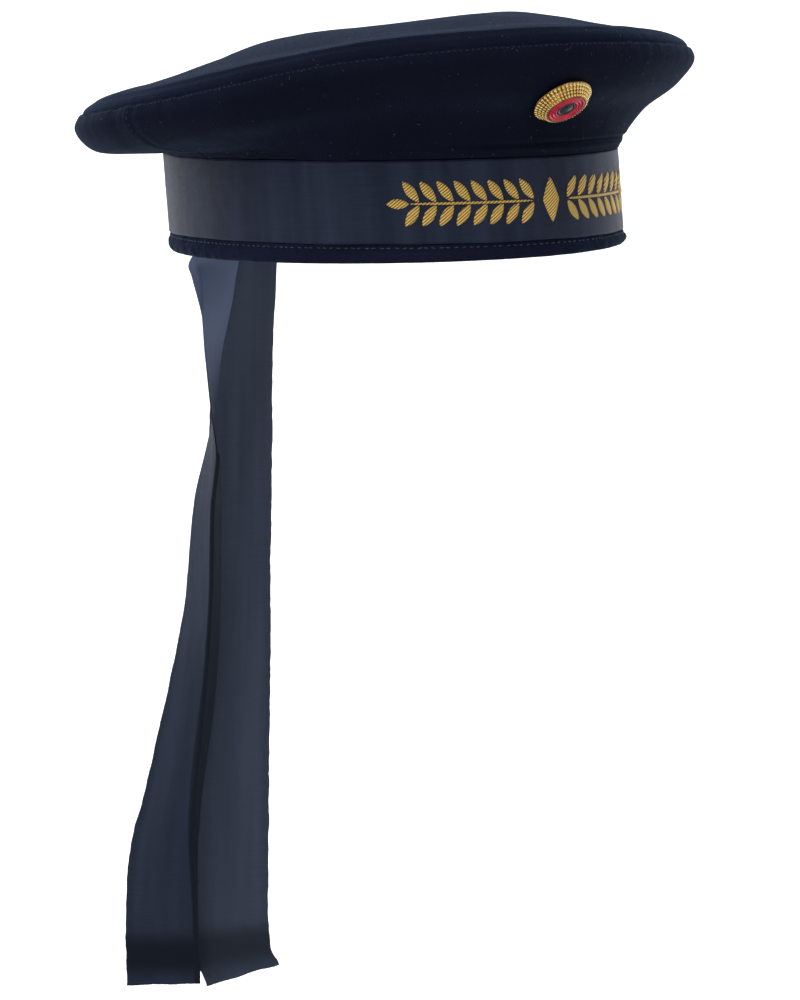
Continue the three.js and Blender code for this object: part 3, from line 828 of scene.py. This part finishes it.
def tail_cloth(table, seed, curl):
    """Points and thread map of a tail. curl is a table of height, width of the free edge that
    turns over, and how many degrees it turns towards the cloth's back."""
    top, bottom = table[0][0], table[-1][0]
    height = np.linspace(top, bottom, TAIL_ROWS + 1)
    _, x, y, turn, cup, slant = tail_values(table, height).T
    turn = np.radians(turn)[None, :]
    across = np.stack([np.cos(turn), np.sin(turn), 0 * turn], -1)
    back = np.stack([-np.sin(turn), np.cos(turn), 0 * turn], -1)
    centre = np.stack([x, y, height], -1)[None]
    curl = np.array(curl, float)
    turned_over, bend = (np.interp(-height, -curl[:, 0], curl[:, k])[None, :] for k in (1, 2))
    bend = np.radians(bend) + 1e-6  # never quite 0, because the curl is divided by it
    half = TAIL_WIDTH / 2
    place = (TAIL_WIDTH * np.linspace(0, 1, TAIL_COLUMNS + 1) ** EDGE_ROW)[:, None]
    past = np.maximum(turned_over - place, 0)
    curve = np.minimum(past, CURL_ROUND)
    straight = past - curve
    turned = bend * curve / CURL_ROUND
    along = CURL_ROUND / bend * np.sin(turned) + straight * np.cos(bend)
    over = CURL_ROUND / bend * (1 - np.cos(turned)) + straight * np.sin(bend)
    side = np.maximum(place, turned_over) / half - 1
    points = (centre + across * (side * half - along)[..., None]
              + back * (over - cup * side**2)[..., None])
    points[..., 2] += slant * (place / half - 1)
    free = np.clip((0 - height) / 60, 0, 1)[None, :]
    push = 0.8 * uneven(points * (1, 1, 0.45), 30.0, seed) * free
    push += 0.14 * uneven(points * (1.4, 1.4, 0.3), 6.0, seed + 4) * free
    ragged = 0.4 * uneven(centre, 7.0, seed + 9) + 0.25 * uneven(centre, 2.6, seed)
    points = points + back * push[..., None] + across * (side**5 * ragged * free)[..., None]
    end = height[None, :] - bottom
    points += SWING_WAY * (SWING * bump_at(end, 6, 13) + 0 * place)[..., None]
    along_end = np.stack([place, 0 * place, 0 * place], -1)
    cut = 0.6 * uneven(along_end, 9.0, seed) + 0.15 * uneven(along_end, 1.3, seed)
    points[..., 2] += np.exp(-end / 2.0) * cut
    chart = np.stack([place + 0 * height, (top - height) + 0 * place], -1)
    return points, chart


def cloth_tail(name, table, seed, node, curl, finish):
    points, chart = tail_cloth(table, seed, curl)
    piece = lay_cloth(name, points, chart, finish, TAIL_WALL, inward=0.0)
    sewn_on(piece, "slate_satin", node)


cloth_tail("tail_left_cloth", TAIL_LEFT, 3.3, "tail_left", CURL_LEFT, TAIL_SATIN)
cloth_tail("tail_right_cloth", TAIL_RIGHT, 8.1, "tail_right", CURL_RIGHT, FOLDED_SATIN)

# %% [markdown]
# ## Stitches
# A stitch is a short fat thread that dives into the cloth at both ends. One small ball,
# stretched and half sunk, reads as a stitch from any side, so a row of them is enough: along
# the hem, round the top seam, and down both seams of the side panel.

# %% Thread finish and rows of stitches


def thread_finish(name, deep, pale):
    thread = Finish(name, deep, 0.6, threads=False)
    twist = thread.cloudy((900, 900, 900), 2.0)
    thread.colour(thread.curve(twist, [(0.35, deep), (0.65, pale)]))
    thread.set(Sheen_Weight=0.2, Specular_IOR_Level=0.3)
    thread.raised(twist, 0.00004)
    return thread.made


HEM_THREAD = thread_finish("hem_thread", screen(30, 34, 50), screen(66, 72, 94))
SEAM_THREAD = thread_finish("seam_thread", screen(16, 20, 34), screen(32, 38, 58))


def drawn_out(shape, rounds, middle, *half_axes):
    """Add a ball to the shape, drawn out along three axes, all in millimetres."""
    fit = Matrix([Vector(axis) * MM for axis in half_axes]).transposed().to_4x4()
    fit.translation = Vector(middle) * MM
    bmesh.ops.create_icosphere(shape, subdivisions=rounds, radius=1.0, matrix=fit)


def stitch_row(name, line, faces, pitch, length, width, finish, finish_slot, seed, loose=0.2):
    """Stitches along a line of points in millimetres, on cloth that faces one way at each.
    loose is how unevenly they are set, from 0 to 1."""
    rng = random.Random(seed)
    gone = along_cloth(line[None])[0]
    count = int(gone[-1] / pitch)
    at = np.array([(k + 0.5 + loose * rng.uniform(-0.3, 0.3)) * pitch for k in range(count)])
    place = np.stack([np.interp(at, gone, line[:, k]) for k in range(3)], -1)
    ahead = np.stack([np.interp(at + 0.5, gone, line[:, k]) for k in range(3)], -1)
    up = unit(np.stack([np.interp(at, gone, faces[:, k]) for k in range(3)], -1))
    way = unit(ahead - place)
    side = unit(np.cross(up, way))
    run = bmesh.new()
    for spot, along, across, out in zip(place, way, side, up):
        tilt = loose * rng.uniform(-0.6, 0.6)
        half = length * (0.5 - loose * rng.uniform(0, 0.35))
        drawn_out(run, 2, spot + 0.08 * width * out, (along + tilt * across) * half,
                  across * width / 2, out * width / 2)
    print(name, "has", count, "stitches")
    sewn_on(finished(name, run, finish), finish_slot)


# %% Hem, seam and side seam stitches
turns = np.linspace(-180, 180, 721)
hem_dips = HEM_DIP * 0.1 * np.cos(np.radians(turns - HEM_DIP_TURN))
HEM_SEWN_OUTSIDE, HEM_SEWN_AT = 0.98, 5.35
hem_line = band_point(turns, HEM_SEWN_OUTSIDE + 0 * turns, HEM_SEWN_AT - hem_dips)
hem_faces = unit(hem_line * (1, 1, 0))
stitch_row("hem_stitches", hem_line, hem_faces, 2.9, 1.9, 0.46, HEM_THREAD, "hem_wool", 3, 0.5)

side_out = facing(side_points, True)
seam_row = SIDE_ROWS - 5
stitch_row("top_seam_stitches", side_points[:, seam_row], side_out[:, seam_row],
           2.3, 1.0, 0.3, SEAM_THREAD, "dark_wool", 4)
for label, seam in zip(("right", "left"), SIDE_SEAM_TURNS):
    column = round((seam - 1.1 + 180) / 360 * SIDE_COLUMNS)
    stitch_row("side_seam_stitches_" + label, side_points[column, 4:seam_row],
               side_out[column, 4:seam_row], 2.6, 1.2, 0.28, SEAM_THREAD, "dark_wool", 5)

# %% [markdown]
# Wool gathers lint. A few hundred pale fibres, each up to two millimetres long and thinner
# than a thread, lie on the crown at every slant. They make a dark cloth look worn and real.
# They are scattered by a seeded draw, because placing them one by one would gain nothing.

# %% Lint on the crown
LINT = thread_finish("lint", screen(70, 78, 100), screen(130, 138, 160))


def lint_on(name, points, out, count, seed):
    rng = random.Random(seed)
    fluff = bmesh.new()
    for _ in range(count):
        column = rng.randrange(points.shape[0] - 1)
        place = rng.randrange(2, points.shape[1] - 3)
        spot, face = points[column, place], out[column, place]
        along = unit(points[column + 1, place] - spot)
        up = unit(np.cross(face, along))
        slant = rng.uniform(0, math.pi)
        way = math.cos(slant) * along + math.sin(slant) * up
        across = np.cross(face, way)
        long, thin = 0.9 * rng.random() ** 2 + 0.1, rng.uniform(0.025, 0.045)
        drawn_out(fluff, 1, spot + 0.03 * face, way * long, across * thin, face * thin)
    print(name, "has", count, "fibres")
    sewn_on(finished(name, fluff, LINT), "dark_wool")


lint_on("side_lint", side_points, side_out, 520, 21)
lint_on("top_lint", top_points, facing(top_points, True), 420, 22)

# %% [markdown]
# ## Woven laurel on the ribbon
# The front of the ribbon carries a band of gold weaving. Here it is a plain laurel: two
# branches that start behind the temples and meet at a lozenge over the forehead. Gold weft
# floats over the silk in slanting lines, so each leaf stands a little proud and is ribbed
# on the slant. A leaf is a small grid bent to a pointed outline and laid on the ribbon.

# %% Gold thread finish


def gold_weave(name, deep, pale):
    gold = Finish(name, pale, 0.42)
    slant = gold.ribs(1.05, 52.0, 0.25)
    wear = gold.cloudy((0.35, 0.35, 1), 3.0)
    tone = gold.mix(gold.curve(slant, [(0.12, 0.0), (0.55, 1.0)]), deep, pale)
    gold.colour(gold.mix(gold.curve(wear, [(0.4, 0.0), (0.75, 0.45)]), tone,
                         tuple(0.72 * v for v in pale)))
    gold.rough(wear, 0.34, 0.55)
    gold.set(Metallic=0.55, Specular_IOR_Level=0.5)
    gold.raised(slant, 0.00022)
    return gold.made


GOLD_WEAVE = gold_weave("gold_weave", screen(98, 64, 22), screen(252, 208, 108))

# %% Laurel leaves
RIBBON_MIDDLE = 22.2
LEAF_ACROSS, LEAF_ALONG = 6, 14
around = np.linspace(-90, 90, 721)
ribbon_round = band_point(around, RIBBON_OUTSIDE + 0 * around, RIBBON_MIDDLE)
ribbon_gone = along_cloth(ribbon_round[None])[0]
ribbon_gone -= np.interp(0.0, around, ribbon_gone)


def on_ribbon(along, height, proud):
    """Points that lie so far along the ribbon from its middle, and so far proud of it."""
    turn = np.interp(along, ribbon_gone, around)
    return band_point(turn, RIBBON_OUTSIDE + ribbon_swell(turn, height) + proud, height)


def laurel_leaf(weaving, middle, slant, length, width, squareness=1.0):
    """A pointed leaf about its middle, (along, height), that leans by slant in degrees."""
    leaf = bmesh.ops.create_grid(weaving, x_segments=LEAF_ALONG, y_segments=LEAF_ACROSS, size=0.5)
    corners = np.array([v.co for v in leaf["verts"]])
    part, side = corners[:, 0] * 2, corners[:, 1] * 2
    half = width / 2 * np.abs(1 - np.abs(part) ** (1.7 * squareness)) ** 0.8 + 0.03
    flat = np.stack([part * length / 2, side * half], -1)
    lean = math.radians(slant)
    along = middle[0] + flat[:, 0] * math.cos(lean) - flat[:, 1] * math.sin(lean)
    height = middle[1] + flat[:, 0] * math.sin(lean) + flat[:, 1] * math.cos(lean)
    edge = np.clip(1 - np.abs(side) ** 6, 0, 1) * np.clip(1 - np.abs(part) ** 10, 0, 1)
    proud = -0.15 + 0.55 * edge
    points = on_ribbon(along, height, proud)
    for corner, point in zip(leaf["verts"], points):
        corner.co = Vector(point) * MM
    return leaf["verts"], np.stack([along, height], -1)


def laurel():
    weaving = bmesh.new()
    threads = weaving.loops.layers.uv.new("threads")
    spots = {}

    def add(*leaf):
        corners, flat = laurel_leaf(weaving, *leaf)
        for corner, spot in zip(corners, flat):
            spots[corner] = spot

    for hand in (-1, 1):
        for step in range(8):
            along = hand * (10.2 + 6.6 * step)
            for way in (-1, 1):
                add((along + hand * 1.2, RIBBON_MIDDLE + way * 4.6), way * hand * 54, 10.0, 4.3)
        add((hand * 33.5, RIBBON_MIDDLE), 0, 52.0, 1.1, 4.0)
        add((hand * 63.0, RIBBON_MIDDLE), 0, 9.0, 4.2)
    add((0, RIBBON_MIDDLE), 90, 17.6, 9.0, 0.62)
    for face in weaving.faces:
        for loop in face.loops:
            loop[threads].uv = spots[loop.vert]
    bmesh.ops.recalc_face_normals(weaving, faces=weaving.faces)
    sewn_on(finished("ribbon_laurel", weaving, GOLD_WEAVE), "gilt")


laurel()

# %% [markdown]
# ## Cockade
# The cockade is stamped from thin brass and gilded: a low cup whose sloping side is beaded in
# rays, with a recess in its face that holds rings of enamel. The round parts are turned from
# a half outline by a spin, and the beads are set out in rays on the slope.

# %% Metal and enamel finishes


def gilt_metal(name, deep, pale):
    metal = Finish(name, deep, 0.28, threads=False)
    wear = metal.cloudy((300, 300, 300), 3.0)
    metal.colour(metal.curve(wear, [(0.3, deep), (0.7, pale)]))
    metal.rough(wear, 0.16, 0.32)
    metal.set(Metallic=1.0)
    metal.raised(metal.cloudy((900, 900, 900), 2.0), 0.00001)
    return metal.made


def enamel(name, deep, pale, gloss):
    glaze = Finish(name, deep, gloss, threads=False)
    pool = glaze.cloudy((260, 260, 260), 2.0)
    glaze.colour(glaze.curve(pool, [(0.3, deep), (0.75, pale)]))
    glaze.rough(pool, gloss, gloss + 0.12)
    glaze.set(Coat_Weight=0.25, Coat_Roughness=0.2, Specular_IOR_Level=0.35)
    glaze.raised(pool, 0.00004)
    return glaze.made


GILT = gilt_metal("gilded_brass", screen(244, 202, 112), screen(255, 234, 168))
# painted shade: the cup between the beads is a darker copy of the gilt
SHADED_GILT = gilt_metal("gilded_brass_painted_shade_in_gaps", screen(132, 94, 42), screen(190, 146, 74))
RED_ENAMEL = enamel("red_enamel", screen(196, 16, 50), screen(226, 36, 78), 0.24)
BLACK_ENAMEL = enamel("black_enamel", screen(20, 21, 26), screen(44, 44, 52), 0.22)

# %% Where the cockade sits
COCKADE_TURN, COCKADE_PLACE, COCKADE_CLEAR, COCKADE_TIP = -1.9, 2.63, 0.95, 53.0
TURN_NUDGE, PLACE_NUDGE = 0.5, 0.02


def cockade_place():
    turn = COCKADE_TURN + TURN_NUDGE * np.array([-1, 1, 0, 0, 0])
    place = COCKADE_PLACE + PLACE_NUDGE * np.array([0, 0, -1, 1, 0])
    spots = crown_point(turn, place)
    out = unit(np.cross(spots[1] - spots[0], spots[3] - spots[2]))
    middle = Vector(spots[4] + COCKADE_CLEAR * out) * MM
    return Matrix.Translation(middle) @ Matrix.Rotation(math.radians(90 + COCKADE_TIP), 4, "X")


COCKADE_AT = cockade_place()
print("the cockade sits at", COCKADE_AT.translation)


def turned(name, outline, steps, finish, finish_slot, *nodes):
    """A round piece spun from a half outline of radius and height, in millimetres."""
    shape = bmesh.new()
    corners = [shape.verts.new((radius * MM, 0, height * MM)) for radius, height in outline]
    edges = [shape.edges.new(pair) for pair in zip(corners, corners[1:])]
    bmesh.ops.spin(shape, geom=corners + edges, cent=(0, 0, 0), axis=(0, 0, 1), steps=steps,
                   angle=2 * math.pi, use_merge=True, use_normal_flip=False,
                   use_duplicate=False, dvec=(0, 0, 0))
    bmesh.ops.remove_doubles(shape, verts=shape.verts, dist=1e-6)
    bmesh.ops.recalc_face_normals(shape, faces=shape.faces)
    bmesh.ops.transform(shape, matrix=COCKADE_AT, verts=shape.verts)
    sewn_on(finished(name, shape, finish), finish_slot, *nodes)


# %% Cockade cup, rings and centre
COCKADE_RAYS = 44
# the cup takes the darker gilt, which is painted shade in the gaps between the beads
turned("cockade_cup", [
    (0, 2.8), (6.9, 2.8), (10.6, 0.15), (11.5, 0.0), (11.95, 0.12), (12.1, 0.45), (11.95, 0.85),
    (11.2, 1.0), (9.95, 2.1), (9.0, 3.1), (8.5, 4.1), (8.3, 4.65), (8.05, 4.85), (7.8, 4.7),
    (7.76, 4.2), (7.74, 3.6), (0, 3.6)], COCKADE_RAYS * 2, SHADED_GILT, "gilt", "cockade_rim")
turned("cockade_red_ring", [
    (3.95, 3.65), (7.66, 3.65), (7.68, 4.6), (7.5, 4.85), (7.05, 4.98), (6.65, 4.82), (6.5, 4.5),
    (6.3, 4.45), (6.15, 4.8), (5.75, 4.98), (5.35, 4.82), (5.2, 4.5), (5.0, 4.45), (4.85, 4.8),
    (4.5, 4.95), (4.15, 4.82), (3.96, 4.5), (3.95, 3.65)], 96, RED_ENAMEL, "red_enamel",
    "cockade_ring")
turned("cockade_black_centre", [
    (0, 3.65), (3.8, 3.65), (3.82, 4.5), (3.7, 4.75), (3.4, 4.82), (3.1, 4.7), (2.95, 4.55),
    (2.6, 4.62), (1.6, 4.8), (0.8, 4.88), (0, 4.9)], 72, BLACK_ENAMEL, "black_enamel",
    "cockade_centre")
turned("cockade_pin_shaft", [
    (0, -5.0), (2.7, -5.0), (3.0, -4.85), (3.0, -4.6), (2.8, -4.4), (0.9, -4.3), (0.7, -4.1),
    (0.7, 2.3), (0.5, 2.5), (0, 2.5)], 32, GILT, "gilt", "cockade_pin")

# %% Cockade beads
BEAD_SLOPE, BEAD_DRAWN = 47, 1.3  # degrees, and how much longer a bead is along its ray
BEAD_ROWS = [(8.62, 4.2, 0.46), (9.35, 3.15, 0.53), (10.25, 2.15, 0.6), (11.25, 1.1, 0.68)]


def cockade_beads():
    beads = bmesh.new()
    for ray in range(COCKADE_RAYS):
        spin = Matrix.Rotation(2 * math.pi * ray / COCKADE_RAYS, 4, "Z")
        for radius, height, size in BEAD_ROWS:
            place = Matrix.Translation((radius * MM, 0, height * MM))
            slope = Matrix.Rotation(math.radians(BEAD_SLOPE), 4, "Y")
            long_bead = Matrix.Diagonal((size * BEAD_DRAWN * MM, size * MM, size * MM, 1))
            bmesh.ops.create_icosphere(beads, subdivisions=2, radius=1.0,
                                       matrix=COCKADE_AT @ spin @ place @ slope @ long_bead)
    sewn_on(finished("cockade_beads", beads, GILT), "gilt")


cockade_beads()
